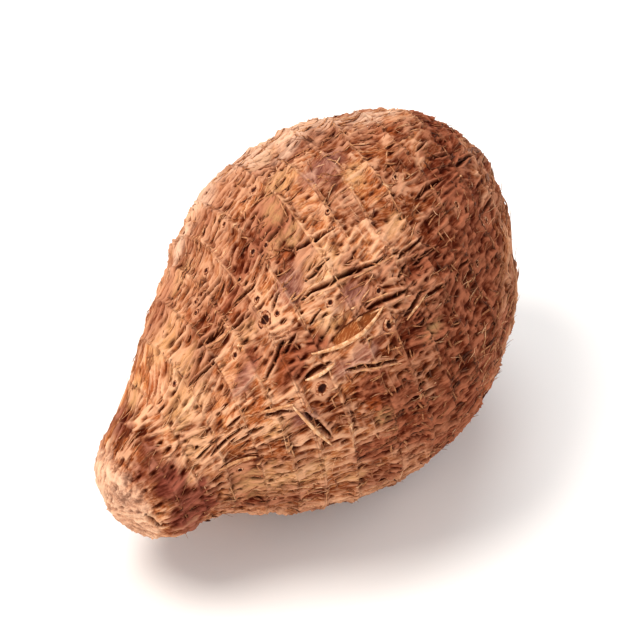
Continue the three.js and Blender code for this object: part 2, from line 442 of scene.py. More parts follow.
def pits(s, a):
    """Small pits of the net, one or none to each cell of a jittered grid; they are sunk and painted dark
    with shade.
    """
    run = run_of(s)
    r = radius_at(s)
    rows = np.arange(-2, int(PROFILE_RUN[-1] / PIT_SPACING) + 4)
    row_run = np.clip((rows + 0.5) * PIT_SPACING, 0, PROFILE_RUN[-1])
    row_radius = radius_at(np.interp(row_run, PROFILE_RUN, PROFILE_STATIONS))
    cells_in_row = np.maximum(3, np.round(TURN * row_radius / PIT_SPACING))
    deep = np.zeros_like(s)
    for step in (-1, 0, 1):
        row = np.floor(run / PIT_SPACING) + step
        count = cells_in_row[row.astype(int) + 2]
        first = np.floor(a / TURN % 1 * count)
        for side in (-1, 0, 1):
            cell = (first + side) % count
            spot_run = (row + 0.15 + 0.7 * cell_value(row, cell, 1)) * PIT_SPACING
            spot_angle = (cell + 0.15 + 0.7 * cell_value(row, cell, 2)) / count * TURN
            size = mix(0.24, 0.46, cell_value(row, cell, 3))
            drawn_out = mix(1.2, 3.4, cell_value(row, cell, 5))
            away = np.hypot((run - spot_run) / drawn_out, turn_from(a, spot_angle) * r) / size
            there = cell_value(row, cell, 4) < 0.5
            deep = np.maximum(deep, there * ease(1.5 - away))
    return deep


def low_right_of(s, a):
    """1 low on the near side of the belly, where pale lines cross over skin that is dark in colour and in
    painted shade.
    """
    return ease((np.cos(a - math.radians(176)) - 0.6) / 0.3) * ease((s - 38) / 12) * ease((94 - s) / 12)


def net_relief(s, a, smooth):
    """Net, threads, strokes and pits: height, pale and dark masks, each plate's own value and slope."""
    rib, own, slope = plates(s, a)
    turned = aslant(s, a, slope)
    run, y, z = net_place(s, turned)

    def patches(long, wide, shift):
        """Noise of a size in mm along and across the net."""
        return noise(run / long + shift, y / wide, z / wide)

    bend = 0.45 * noise(run / 3.1, y / 2.6 + 5, z / 2.6)
    woven = ease(0.35 + 1.3 * patches(12, 9, 70) + 0.5 * ease(1 - np.abs(s - 64) / 16))
    thread, between = threads(s, turned)
    low_right = low_right_of(s, a)
    long = ridge(patches(*LONG_STRAND, 7.9 * band_of(s)), 0.2)
    long *= ease(0.3 + 0.3 * woven + 0.4 * low_right + 1.6 * patches(5, 4, 3.1))
    stroke = 0.85 * noise(run / STROKE[0] + bend, y / STROKE[1] + 40 + bend, z / STROKE[1])
    stroke += 0.4 * noise(run / FINE_STROKE[0] + 30, y / FINE_STROKE[1], z / FINE_STROKE[1] + 60 + bend)
    grain = 0.85 * noise(run / GRAIN[0] + 9, y / GRAIN[1] + bend, z / GRAIN[1])
    grain += 0.4 * noise(run / 0.8, y / 0.6 + 80, z / 0.6)
    upright = ease(0.15 + 1.2 * patches(13, 11, 20) + (s - 76) / 50 + 0.5 * low_right)
    level = mix(stroke, grain, upright)
    tied = np.maximum(np.maximum(1.6 * low_right, woven), 1.4 * ease((24 - s) / 8))
    across = ridge(patches(*CROSS_LINE, 50 + bend), 0.2)
    across *= ease(1.7 * noise(run / 3, y / 2, z / 2 + 20) - 0.15 + 0.5 * tied)
    deep = pits(s, a) * (1 - 0.8 * smooth)
    calm = (1 - np.maximum(0.7 * smooth, 0.3 * ease((own - 0.7) / 0.2))) * (1 - 0.4 * woven)
    thread *= woven * (1 - smooth)
    light = ease((level - 0.15) / 0.24)
    patchy = ease(0.5 + 1.4 * patches(1.2, 1.5, 15))
    hollow = ease((-0.14 - level) / 0.28) * mix(0.4, 1, patchy)
    slot = woven * between * (1 - smooth)
    height = 0.3 * long + calm * (0.26 * level + 0.1 * light - 0.18 * hollow) + 0.24 * across + 0.34 * rib
    height += 0.3 * (own - 0.5) - 0.5 * deep + 0.3 * thread - 0.22 * slot * patchy
    raised = 0.8 * long + 0.85 * calm * light + 0.65 * across + 0.75 * rib + 0.6 * thread
    raised = np.clip(raised - 1.2 * deep + 0.3 * slot * (1 - patchy), 0, 1)
    # The dark mask: painted shade in the hollows, slots and pits, over the skin's darker gaps.
    sunken = np.maximum(calm * hollow, deep) + 0.6 * slot * patchy
    sunken = np.clip(sunken - 0.9 * long - 0.8 * rib - 0.6 * across - 0.5 * thread, 0, 1)
    return height, raised, sunken, own, slope


def cut_cracks(s, a, height, raised, sunken):
    """Sinks every crack between two pale lips and paints it dark with shade."""
    for start, end, half_width, depth in ALL_CRACKS:
        near = (s > start[0] - 2) & (s < end[0] + 2)
        across = np.abs(lens(s[near], a[near], start, end, half_width, 0.3))
        gap_and_shade = ease(1.3 - across)
        lip = np.exp(-((across - 2.05) ** 2) * 2.4)
        height[near] += 0.4 * lip - depth * gap_and_shade
        raised[near] = np.maximum(raised[near], lip) * (1 - gap_and_shade)
        sunken[near] = np.maximum(sunken[near] * (1 - lip), gap_and_shade)


def cut_scars(s, a, height, raised, sunken):
    """Sinks the hole of every root scar in a calm pale rim and paints the hole dark with shade."""
    for station, angle, hole in ALL_SCARS:
        near = np.abs(s - station) < 5 * hole
        x, y = from_place(s[near], a[near], station, angle)
        ragged = 0.3 * noise(x / hole + station, y / hole, angle * np.ones_like(x))
        away = np.hypot(x, y) / hole
        inside = ease((1.1 - away) / 0.3)
        rim = ease((3.0 - away * (1 + ragged)) / 1.2)
        calmed = 0.12 * hole + 0.3 * height[near] * ease((away - 1.6) / 0.8)
        height[near] = mix(mix(height[near], calmed, rim), -1.3 * hole, inside)
        raised[near] = mix(raised[near], 0.8, rim) * (1 - inside)
        sunken[near] = np.maximum(sunken[near] * (1 - rim), inside)


def fine_relief(s, a, smooth):
    """The net, cracks, torn place and scars: height, masks for the finish, plate values and slopes."""
    height, raised, sunken, own, slope = net_relief(s, a, smooth)
    cut_cracks(s, a, height, raised, sunken)

    start, end, half_width, depth = TORN_PLACE
    across = lens(s, a, start, end, half_width)
    bare = ease((1.1 - np.abs(across)) / 0.25)
    # The torn place's rim is sunk and painted dark with shade.
    edge = ease(1 - np.abs(across - 1.1) / 0.32)
    height = mix(height, -depth, bare) - 0.4 * edge
    raised *= (1 - bare) * (1 - edge)
    sunken = np.maximum(sunken * (1 - bare), edge)

    cut_scars(s, a, height, raised, sunken)
    return height, raised, sunken, bare, own, slope


def blotch(s, a, places):
    """Soft spots of one tint at listed places, with ragged borders."""
    y, z = round_coordinates(a)
    ragged = 0.45 * noise(s / 2.2, y / 2.0 + 9, z / 2.0)
    spot = np.zeros_like(s)
    for station, angle, half_length, half_width in places:
        along, across = from_place(s, a, station, angle)
        away = np.hypot(along / half_length, across / half_width)
        spot = np.maximum(spot, ease(1.5 - away + ragged))
    return spot


# Places of each tint as (station, angle, half length and half width in mm).
TINT_PLACES = {
    "plum": [
        (65.8, 88, 5, 3.4), (61, 88, 3.2, 2.4), (45.6, 108.5, 3.2, 2.8), (54.4, 126, 4, 2),
        (46.8, 143.5, 2.2, 1.9), (37, 152.5, 2.4, 2), (52, 143.6, 3.6, 1.9), (29.4, 122, 3, 2),
        (84, 60, 5, 4), (70, 240, 6, 4), (48, 300, 4, 3), (62, 20, 5, 3), (36, 250, 4, 3),
        (82, 330, 4, 3),
    ],
    "straw": [
        (56.9, 59, 4, 2.5), (51, 86, 3, 2.6), (47.4, 94, 2.4, 1.5), (51.2, 97, 2.2, 1.6),
        (52.5, 112, 4.4, 3.2), (54.6, 119, 2.2, 1.5), (49.8, 127, 3.4, 2.6), (33.6, 107, 2.2, 1.9),
        (31, 52, 3, 2.2), (21, 89, 3.6, 3), (16.6, 133, 2.6, 2.4), (13.3, 58, 2.2, 2.2),
        (71, 119, 2.4, 1.8), (69.8, 97, 2.6, 2.4), (30.8, 150, 2.6, 1.8), (51.3, 169, 2, 1.8),
        (67.3, 153, 2.6, 1.4), (43.1, 197, 2.6, 1.6), (58, 330, 5, 3), (34, 290, 4, 3), (76, 10, 4, 3),
        (26, 350, 3, 3), (72, 270, 4, 3), (18, 106, 4.4, 3.4), (26, 180, 6, 4.4), (22, 70, 4, 3),
        (34, 182, 5, 3.6), (55.6, 78, 4, 3.4),
    ],
    "rust": [
        (33.4, 98.5, 3.2, 2.4), (48.3, 119, 2, 1.8), (18, 74, 4.2, 3.2), (47, 98, 2, 1.4),
        (29.5, 132, 2.6, 2.2), (49, 163, 2.2, 2), (25, 73, 3.2, 3), (83.6, 85, 4, 3),
        (34.9, 126, 3.4, 3), (78, 200, 5, 4), (52, 340, 5, 3), (30, 30, 4, 3), (64, 290, 4, 3),
    ],
    "wine": [
        (9, 110, 2.4, 2.8), (7, 122, 2.8, 3), (8.4, 137, 3.4, 3.2), (9.4, 150, 3.6, 3.2),
        (11.5, 164, 4.2, 3.2), (13, 179, 3.6, 3.2), (8.7, 180, 4, 3.2), (10, 198, 4.2, 3.2),
        (11, 222, 3.6, 3.6), (10, 250, 3.2, 3.6), (9, 280, 3, 3.6), (9, 310, 3, 3.6), (10, 340, 3, 3.6),
        (9, 10, 2.8, 3.4), (9, 40, 2.4, 3.2), (8, 66, 2, 3),
    ],
    # A painted highlight: pale peach places on the upper side of the belly.
    "peach_tip_and_highlight": [
        (58, 52, 6.5, 7.5), (66, 60, 7, 6), (47, 44, 5, 4), (36, 40, 4, 3), (75, 62, 7, 6),
        (84, 68, 6, 6),
    ],
}
# Darkened places as (station, angle, half length and half width in mm): the skin's darker red-brown
# together with painted shade, low on the near side, underneath, at the butt and on the neck's near side.
DARK_PLACES = [
    (69, 176, 7, 7), (61, 180, 7, 6), (55.4, 168, 5, 5), (51, 154, 3, 3), (78, 162, 7, 7),
    (88, 150, 7, 7), (48, 183, 4, 3), (13, 180, 3.6, 3.4), (8.4, 178, 3.6, 3), (8.6, 142, 2.6, 2.6),
    (57, 176, 5, 8), (66, 188, 7, 8), (70, 202, 8, 8), (60, 250, 8, 6), (40, 270, 8, 5),
    (92, 115, 6, 8), (98, 90, 5, 8), (38, 130, 4, 3.6), (44, 130, 2.6, 2.2), (30.5, 118, 3, 2.6),
    (11.5, 167, 4, 3.4), (10, 150, 2.6, 2.6),
]


def skin_tone_and_painted_shade(s, a):
    """0 where the skin is pale and 1 where it is dark: its own random and darker tones, with painted shade
    that darkens it underneath, towards the butt, on the upper sides and low on the near side.
    """
    y, z = round_coordinates(a)
    slow = 0.2 * noise(s / 22.0, y / 20.0 + 3, z / 20.0) + 0.2 * noise(s / 7.0 + 11, y / 6.0, z / 6.0)
    # Painted shade, with some of the skin's own darker colour: darker underneath, towards the butt, on the
    # upper sides and low on the near side.
    under = 0.5 + 0.5 * np.cos(a - math.radians(262))
    far = ease((s - 42) / 48)
    high_side = ease((np.cos(a - math.radians(20)) - 0.6) / 0.4)
    local = 0.72 * blotch(s, a, DARK_PLACES)
    neck = ease((26 - s) / 12)
    left_side = ease((np.cos(a - math.radians(75)) - 0.75) / 0.2)
    left_side *= ease((s - 16) / 8) * ease((60 - s) / 12)
    tone_and_painted_shade = 0.3 + 0.22 * under + 0.26 * far + slow + 0.12 * high_side - 0.1 * neck + 0.2 * left_side
    tone_and_painted_shade += 0.16 * low_right_of(s, a)
    return np.clip(tone_and_painted_shade + local, 0, 1)


def points_of(piece):
    co = np.zeros(len(piece.data.vertices) * 3)
    piece.data.vertices.foreach_get("co", co)
    return co.reshape(-1, 3)


def set_points(mesh, points_mm):
    mesh.vertices.foreach_set("co", (points_mm * MM).astype(np.float32).ravel())
    mesh.update()


def store(mesh, name, values, kind="FLOAT"):
    field = "value" if kind == "FLOAT" else "vector"
    mesh.attributes.new(name, kind, "POINT").data.foreach_set(field, values.astype(np.float32).ravel())


def add_object(name, data):
    thing = bpy.data.objects.new(name, data)
    bpy.context.scene.collection.objects.link(thing)
    return thing


def to_object(name, bm):
    mesh = bpy.data.meshes.new(name)
    bm.to_mesh(mesh)
    bm.free()
    return add_object(name, mesh)


def make_skin_band(name, part):
    """One band of the skin, counted from the neck: a sheet rolled up round the corm and sewn."""
    bm = bmesh.new()
    bmesh.ops.create_grid(bm, x_segments=SKIN_COLUMNS, y_segments=BAND_ROWS, size=1)
    piece = to_object(name, bm)
    mesh = piece.data
    x, y, _ = points_of(piece).T
    column = np.round((x + 1) / 2 * SKIN_COLUMNS) % SKIN_COLUMNS
    row = np.round((y + 1) / 2 * BAND_ROWS).astype(int)
    a = column / SKIN_COLUMNS * TURN
    row_runs = np.linspace(*run_of(BAND_MEETINGS[part:part + 2]), BAND_ROWS + 1)
    s = np.interp(row_runs[row], PROFILE_RUN, PROFILE_STATIONS)

    spots = {tint: blotch(s, a, places) for tint, places in TINT_PLACES.items()}
    tip = ease((4.6 - s + 1.4 * noise(s / 3, *(v / 6 for v in round_coordinates(a)))) / 2.4)
    form, crest_mask, ring_groove_and_shadow, calm = form_relief(s, a)
    fine, raised, sunken, bare, own, slope = fine_relief(s, a, np.maximum(spots["plum"], 0.5 * tip))
    # The rings' painted shadow, which also sinks the skin a little.
    ring_groove_and_shadow = ring_groove_and_shadow * (1 - bare) * (1 - raised)
    fine = fine - 0.35 * ring_groove_and_shadow
    at_pole = (s < 1e-6) | (s > LENGTH - 1e-6)
    point, out, _, _ = skin_frame(s, np.where(at_pole, 0.0, a))
    p = point + out * np.where(at_pole, 0.0, form + fine * calm)[:, None]
    p[:, 2] = np.maximum(p[:, 2], FOOT_Z)
    set_points(mesh, p)

    store(mesh, "grain", np.stack(net_place(s, aslant(s, a, slope)), -1) * MM, "FLOAT_VECTOR")
    masks = {
        **spots,
        "raised": np.clip(np.maximum(raised, crest_mask), 0, 1) * (1 - bare),
        "sunken": np.maximum(sunken, 0.9 * ring_groove_and_shadow) * (1 - crest_mask),
        "bare": bare,
        "plate": own,
        "plum": spots["plum"] * (1 - bare),
        # The pale tip's own colour, and the painted highlight on the upper side of the belly.
        "peach_tip_and_highlight": np.maximum(0.7 * tip, 0.75 * spots["peach_tip_and_highlight"]),
        "tone_and_painted_shade": skin_tone_and_painted_shade(s, a),
    }
    for mask, values in masks.items():
        store(mesh, mask, values)
    sew(mesh, column, row, part)
    return piece


def sew(mesh, column, row, part):
    """Closes the roll, its pole, and each open rim by a cone to the rim's middle."""
    bm = bmesh.new()
    bm.from_mesh(mesh)
    bm.verts.ensure_lookup_table()
    ends = [{bm.verts[i] for i in np.flatnonzero(row == end)} for end in (0, BAND_ROWS)]
    poles = [end for end, station in zip(ends, BAND_MEETINGS[part:part + 2]) if station in (0, LENGTH)]
    seam = {bm.verts[i] for i in np.flatnonzero(column == 0)}.union(*poles)
    bmesh.ops.remove_doubles(bm, verts=list(seam), dist=1e-7)
    for end in ends:
        rim = [edge for edge in bm.edges if edge.is_boundary and edge.verts[0] in end]
        if not rim:
            continue
        inner = bmesh.ops.extrude_edge_only(bm, edges=rim)["geom"]
        inner_verts = [v for v in inner if isinstance(v, bmesh.types.BMVert)]
        middle = sum((v.co for v in inner_verts), Vector()) / len(inner_verts)
        bmesh.ops.pointmerge(bm, verts=inner_verts, merge_co=middle)
    bmesh.ops.recalc_face_normals(bm, faces=bm.faces)
    bm.to_mesh(mesh)
    bm.free()


def repeat(name, bm, count):
    """count copies of a small shape in one mesh, and the shape's own points."""
    piece = to_object(name, bm)
    own = points_of(piece)
    array = piece.modifiers.new("copies", "ARRAY")
    array.count = count
    array.use_relative_offset = False
    graph = bpy.context.evaluated_depsgraph_get()
    joined = bpy.data.meshes.new_from_object(piece.evaluated_get(graph))
    piece.modifiers.clear()
    piece.data = joined
    return piece, own


def strand_shape(sides, sections):
    """A prism of unit radius from z 0 to 1, cut into sections."""
    bm = bmesh.new()
    bmesh.ops.create_cone(bm, cap_ends=True, segments=sides, radius1=1, radius2=1, depth=1)
    bmesh.ops.translate(bm, verts=bm.verts, vec=(0, 0, 0.5))
    long_edges = [e for e in bm.edges if abs(e.verts[0].co.z - e.verts[1].co.z) > 0.5]
    bmesh.ops.subdivide_edges(bm, edges=long_edges, cuts=sections - 1, use_grid_fill=True)
    return bm


def area_stations(count, low, high):
    """Random stations, as many per area on the neck as on the belly."""
    t = np.linspace(low, high, 2000)
    share = np.cumsum(radius_at(t))
    return np.interp(rng.uniform(0, 1, count), share / share[-1], t)


def scatter(count, low, high):
    """Random places for strands, clear of the torn place, the stick's painted shadow and large scars."""
    s = area_stations(count, low, high)
    a = rng.uniform(0, TURN, count)
    clear = np.ones(count, bool)
    for start, end in (TORN_PLACE[:2], STICK_SHADOW_GAP[:2]):
        share, away = place_of(s, a, start, end)
        clear &= (np.abs(away) > STRANDS_KEEP_OFF) | (share < -0.3) | (share > 1.2)
    for station, angle, hole in SCARS:
        away_round = turn_from(a, math.radians(angle)) * radius_at(s)
        clear &= np.hypot(s - station, away_round) > SCAR_CLEARANCE * (hole - 0.3)
    return s[clear], a[clear]


def lay(name, shape, s, a, long, heading, wide, thick, lift, tip_lift, sway, blunt=0.55, bow=0.0):
    """Lays strands on the skin: each starts at (s, a) and runs long mm at heading from the axis."""
    count = len(s)
    piece, own = repeat(name, shape, count)
    x, y, z = own.T
    numbers = (s, a, long, heading, wide, thick, lift, tip_lift, sway, bow)
    columns = [(np.asarray(v, float) * np.ones(count))[:, None] for v in numbers]
    s0, a0, long, heading, wide, thick, lift, tip_lift, sway, bow = columns
    phase = rng.uniform(0, TURN, (count, 1))
    sideways = np.sin(heading) * long * z + sway * long * (np.sin(3.2 * z + phase) - np.sin(phase))
    sideways = sideways + 4 * bow * long * z * (1 - z)
    station = np.clip(s0 + np.cos(heading) * long * z, 0.4, LENGTH - 0.3)
    angle = a0 + sideways / np.maximum(radius_at(station), 4)
    form, _, _, calm = form_relief(station, angle)
    point, out, along, around = skin_frame(station, angle)
    across = unit(np.cos(heading)[..., None] * around - np.sin(heading)[..., None] * along)
    taper = np.maximum(np.sin(math.pi * np.clip(z, 0.02, 0.98)), 0.02) ** blunt
    height = form + calm * (lift + 0.2 * np.sin(2.3 * math.pi * z + phase) * thick) + tip_lift * z**2.2
    height = height + y * thick * taper
    p = point + out * height[..., None] + across * (x * wide * taper)[..., None]
    p[..., 2] = np.maximum(p[..., 2], FOOT_Z + 0.02)
    set_points(piece.data, p.reshape(-1, 3))
    return piece


def shade_copies(piece, shades):
    """Gives each copy its own shade from 0, dark, to 1, pale."""
    own_count = len(piece.data.vertices) // len(shades)
    store(piece.data, "shade", np.repeat(shades, own_count))
    return piece


def strand_shades(s, a, middle, spread):
    """Shades that follow the skin's tone and its painted shade, so that strands do not stand out where it
    is dark.
    """
    return np.clip(rng.normal(middle, spread, len(s)) - 0.55 * (skin_tone_and_painted_shade(s, a) - 0.35), 0, 1)


def thinness(s):
    """Share of their full thickness that strands have: a half on the neck."""
    return mix(0.5, 1, ease((radius_at(s) - 8) / 22))


def make_net_strands():
    """Raised dry strands, mostly along the corm: what is left of the leaf bases' veins."""
    s, a = scatter(NET_STRANDS, 7, 101)
    count = len(s)
    thin = thinness(s)
    long = rng.uniform(1.4, 4.6, count) * mix(0.6, 1, thin)
    heading = rng.normal(0, 0.3, count) + (rng.uniform(0, 1, count) < 0.5) * math.pi
    wide = rng.uniform(0.13, 0.27, count) * thin
    loose = rng.uniform(0, 1, count) < 0.04
    tip = np.where(loose, rng.uniform(0.2, 0.8, count), rng.uniform(-0.3, 0.05, count))
    lift = rng.uniform(-0.06, 0.18, count)
    piece = lay("net_strands", strand_shape(3, 5), s, a, long, heading, wide, wide, lift, tip, 0.05)
    return shade_copies(piece, strand_shades(s, a, 0.55, 0.16))


def make_cross_strands():
    """Strands that run aslant or round the corm and tie the long ones into a net."""
    s, a = scatter(CROSS_STRANDS, 12, 100)
    count = len(s)
    thin = thinness(s)
    long = rng.uniform(1.2, 3.6, count) * thin
    heading = rng.choice([-1, 1], count) * rng.uniform(0.5, 1.75, count)
    wide = rng.uniform(0.16, 0.3, count) * thin
    lift = rng.uniform(-0.08, 0.16, count)
    tip = np.where(rng.uniform(0, 1, count) < 0.05, rng.uniform(0.2, 0.7, count), -0.15)
    piece = lay("cross_strands", strand_shape(3, 5), s, a, long, heading, wide, wide, lift, tip, 0.05)
    return shade_copies(piece, strand_shades(s, a, 0.55, 0.16))


def ring_places(spacing, least_whole, angle_spread=0, station_spread=0):
    """Places along every ring but the first, where it is whole enough: stations, angles, radii."""
    found = []
    for station in RING_STATIONS[1:]:
        r = place_radius(station)
        count = int(TURN * r / spacing)
        a = np.arange(count) / count * TURN
        if angle_spread:
            a = a + rng.normal(0, angle_spread / r, count)
        level = station * np.ones(count)
        s = level - ring_offset(level, a, station)
        if station_spread:
            s = s + rng.normal(0, station_spread, count)
        whole = ring_noise(3.3 * level, 8, a) > least_whole
        found.append(np.stack([s, a, r * np.ones(count)])[:, whole])
    return np.concatenate(found, axis=1)


def make_ring_fringes():
    """Ragged papery edges of the old leaf bases, lying along every ring."""
    s, a, r = ring_places(FRINGE_SPACING, -0.2, angle_spread=0.8)
    count = len(s)
    size = mix(0.5, 1, ease((r - 10) / 18))
    long = rng.uniform(0.8, 2.2, count) * size
    heading = rng.normal(0, 0.5, count)
    wide = rng.uniform(0.16, 0.42, count) * size
    tip = rng.uniform(-0.25, 0.2, count) * size
    shape = strand_shape(4, 4)
    quarter_turn = Matrix.Rotation(math.pi / 4, 3, "Z")
    bmesh.ops.rotate(shape, verts=shape.verts, cent=(0, 0, 0), matrix=quarter_turn)
    piece = lay("ring_fringes", shape, s - 0.5, a, long, heading, wide, 0.1, 0.12 * size, tip, 0.05, 0.6)
    return shade_copies(piece, strand_shades(s - 0.5, a, 0.5, 0.16))


def make_ring_lines():
    """The unbroken parts of the ring crests: thin strands sunk in the skin, end to end."""
    s, a, _ = ring_places(RING_LINE_SPACING, 0.1, station_spread=0.1)
    count = len(s)
    wide = rng.uniform(0.12, 0.22, count)
    heading = math.pi / 2 + rng.normal(0, 0.08, count)
    shape = strand_shape(3, 12)
    piece = lay("ring_lines", shape, s, a, RING_LINE_LENGTH, heading, wide, wide, 0, 0, 0.05)
    return shade_copies(piece, strand_shades(s, a, 0.56, 0.12))


def make_loose_hairs():
    """Fine hairs that stand off the skin and show along the outline."""
    s, a = scatter(LOOSE_HAIRS, 4, 104)
    count = len(s)
    long = rng.uniform(1.2, 4.0, count)
    heading = rng.normal(0, 0.7, count) + (rng.uniform(0, 1, count) < 0.3) * math.pi
    tip = rng.uniform(0.2, 1.4, count)
    piece = lay("loose_hairs", strand_shape(3, 5), s, a, long, heading, 0.07, 0.07, 0.15, tip, 0.09)
    return shade_copies(piece, rng.uniform(0.1, 0.9, count))


def make_root_stubs():
    """Broken brown rootlets under the belly and on the far side, most of them lying flat."""
    stations, angles = zip(*STUB_SPOTS)
    s = np.concatenate([stations, area_stations(LOOSE_STUBS, 18, 98)])
    a = np.radians(np.concatenate([angles, rng.uniform(190, 350, LOOSE_STUBS)]))
    count = len(s)
    long = rng.uniform(1.2, 3.2, count)
    heading = rng.uniform(-0.8, 0.8, count)
    wide = rng.uniform(0.14, 0.3, count)
    tip = rng.uniform(0.0, 0.8, count)
    piece = lay("root_stubs", strand_shape(5, 5), s, a, long, heading, wide, wide, 0.1, tip, 0.12, 0.3)
    return shade_copies(piece, rng.uniform(0.1, 0.7, count))


def scar_shape():
    """A small cup, closed underneath, for the hole of a root scar, which is painted dark with shade; the
    hole has unit radius.
    """
    cup = [(0, -0.8), (0.6, -0.7), (0.8, -0.4), (0.96, -0.05)]
    rim = [(1.12, 0.0), (1.42, -0.1), (1.8, -0.5), (1.8, -1.6), (0, -1.6)]
    bm = bmesh.new()
    line = [bm.verts.new((r, 0, h)) for r, h in cup + rim]
    edges = [bm.edges.new(pair) for pair in zip(line, line[1:])]
    bmesh.ops.spin(
        bm, geom=line + edges, cent=(0, 0, 0), axis=(0, 0, 1), angle=TURN, steps=16, use_merge=True,
    )
    bmesh.ops.remove_doubles(bm, verts=bm.verts, dist=1e-4)
    bmesh.ops.recalc_face_normals(bm, faces=bm.faces)
    return bm


def make_root_scars():
    """Craters where rootlets broke off, set in the skin's dimples."""
    count = len(ALL_SCARS)
    piece, own = repeat("root_scars", scar_shape(), count)
    s, a, hole = (np.array(v, float)[:, None] for v in zip(*ALL_SCARS))
    a = np.radians(a)
    form, _, _, calm = form_relief(s, a)
    point, out, along, around = skin_frame(s, a)
    x, y, z = own.T
    wobble = 1 + 0.2 * noise(s * 3.1, 1.6 * x[None, :], 1.6 * y[None, :])
    p = point + out * (form + (0.2 + z) * hole * mix(0.2, 1, calm))[..., None]
    p = p + along * (x * hole * 1.12 * wobble)[..., None] + around * (y * hole * wobble)[..., None]
    p[..., 2] = np.maximum(p[..., 2], FOOT_Z + 0.01)
    set_points(piece.data, p.reshape(-1, 3))
    # Painted shade: the cup's colour darkens with depth down the hole.
    store(piece.data, "shade", np.tile(np.clip(own[:, 2] + 0.9, 0, 1), count))
    return piece


# Lips and sticks: (station, angle) of both ends, bow, half width, thickness, lift, end's lift, shade.
TORN_LIPS = [
    ((42.6, 132), (59.4, 135), 0.13, 0.5, 0.36, 0.36, 0.1, 0.74),
    ((35.4, 144.4), (39.8, 170), 0.02, 0.4, 0.38, 0.46, 0.2, 0.78),
    ((29.6, 139), (35.8, 144.8), 0, 0.4, 0.28, 0.2, 0.1, 0.66),
    ((39.4, 138.6), (45.8, 139.8), 0.06, 0.42, 0.26, 0.3, 0.3, 0.82),
    ((26.6, 96.4), (31.6, 101.4), 0, 0.26, 0.24, 0.2, 0, 0.66),
    ((45.8, 117), (56.4, 121.4), 0, 0.24, 0.24, 0.1, 0, 0.64),
    ((57, 122.4), (67.6, 127), 0, 0.24, 0.24, 0.1, 0, 0.66),
    ((42.4, 113.2), (49.6, 114.6), 0, 0.2, 0.22, 0.1, 0, 0.6),
    ((47.6, 145.4), (57.6, 154), 0, 0.28, 0.24, 0.12, 0, 0.68),
    ((47.6, 142.4), (56.8, 151), 0, 0.22, 0.22, 0.1, 0, 0.62),
    ((55.6, 166.8), (63.8, 169), 0, 0.3, 0.26, 0.15, 0, 0.74),
    ((56.4, 134.6), (66, 139.2), 0, 0.28, 0.24, 0.12, 0, 0.7),
    ((56.6, 130.8), (65.6, 135.4), 0, 0.24, 0.22, 0.1, 0, 0.66),
    ((62.6, 144), (69.6, 142.8), 0, 0.28, 0.24, 0.12, 0, 0.7),
    ((19, 158), (26, 160), 0, 0.5, 0.16, 0.1, 0.2, 0.6),
]


def make_torn_lips():
    """The curled lips of the torn place, and the ledge, stick and ridges listed one by one."""
    starts, ends, bow, wide, thick, lift, tip, shades = (np.array(v, float) for v in zip(*TORN_LIPS))
    local = radius_at((starts[:, 0] + ends[:, 0]) / 2)
    along = ends[:, 0] - starts[:, 0]
    across = np.radians(ends[:, 1] - starts[:, 1]) * local
    s, a = starts[:, 0], np.radians(starts[:, 1])
    long, heading = np.hypot(along, across), np.arctan2(across, along)
    shape = strand_shape(6, 22)
    piece = lay("torn_lips", shape, s, a, long, heading, wide, thick, lift, tip, 0.012, 0.4, bow)
    return shade_copies(piece, shades)


# Rings of scales round the bud as (station, number of scales, length in mm).
CROWN_ROWS = [(99.5, 34, 4.6), (102.4, 26, 3.8), (104.6, 16, 2.6)]


def make_crown_scales():
    """Narrow dry scales that close over the bud in the middle of the butt end."""
    stations, counts, lengths = zip(*CROWN_ROWS)
    count = sum(counts)
    s = np.repeat(stations, counts) + rng.normal(0, 0.4, count)
    a = np.concatenate([(np.arange(n) + 0.5 * i) / n * TURN for i, n in enumerate(counts)])
    long = np.repeat(lengths, counts) * rng.uniform(0.6, 1.1, count)
    wide = rng.uniform(0.3, 0.75, count)
    tip = rng.uniform(-0.1, 0.5, count)
    heading = rng.normal(0, 0.15, count)
    piece = lay("crown_scales", strand_shape(6, 8), s, a, long, heading, wide, 0.16, 0.15, tip, 0.03)
    return shade_copies(piece, rng.uniform(0.12, 0.5, count))


def make_crossed_strands():
    """Pale strands that lie crossed over the skin low on the near side, dark there in colour and in
    painted shade.
    """
    count = CROSSED_STRANDS
    s = rng.uniform(46, 86, count)
    a = np.radians(rng.uniform(142, 196, count))
    crossing = rng.uniform(0, 1, count) < 0.5
    long = rng.uniform(2.2, 5.0, count)
    heading = rng.normal(0.1, 0.2, count) + crossing * 1.35
    wide = rng.uniform(0.22, 0.34, count)
    piece = lay("crossed_strands", strand_shape(3, 5), s, a, long, heading, wide, wide, 0.04, -0.1, 0.06)
    return shade_copies(piece, rng.uniform(0.38, 0.66, count))


def hex_colour(code):
    """Linear colour of an sRGB hex value."""
    parts = [int(code[i:i + 2], 16) / 255 for i in (1, 3, 5)]
    return tuple(p / 12.92 if p <= 0.04045 else ((p + 0.055) / 1.055) ** 2.4 for p in parts) + (1.0,)


def add_node(material, kind, sockets=None, **settings):
    """Adds a node, sets its properties, and sets or links its inputs."""
    tree = material.node_tree
    node = tree.nodes.new(kind)
    for name, value in settings.items():
        setattr(node, name, value)
    for key, value in (sockets or {}).items():
        if isinstance(value, bpy.types.NodeSocket):
            tree.links.new(value, node.inputs[key])
        else:
            node.inputs[key].default_value = value
    return node


def new_material(name):
    material = bpy.data.materials.new(name)
    material.use_nodes = True
    material.node_tree.nodes.clear()
    return material


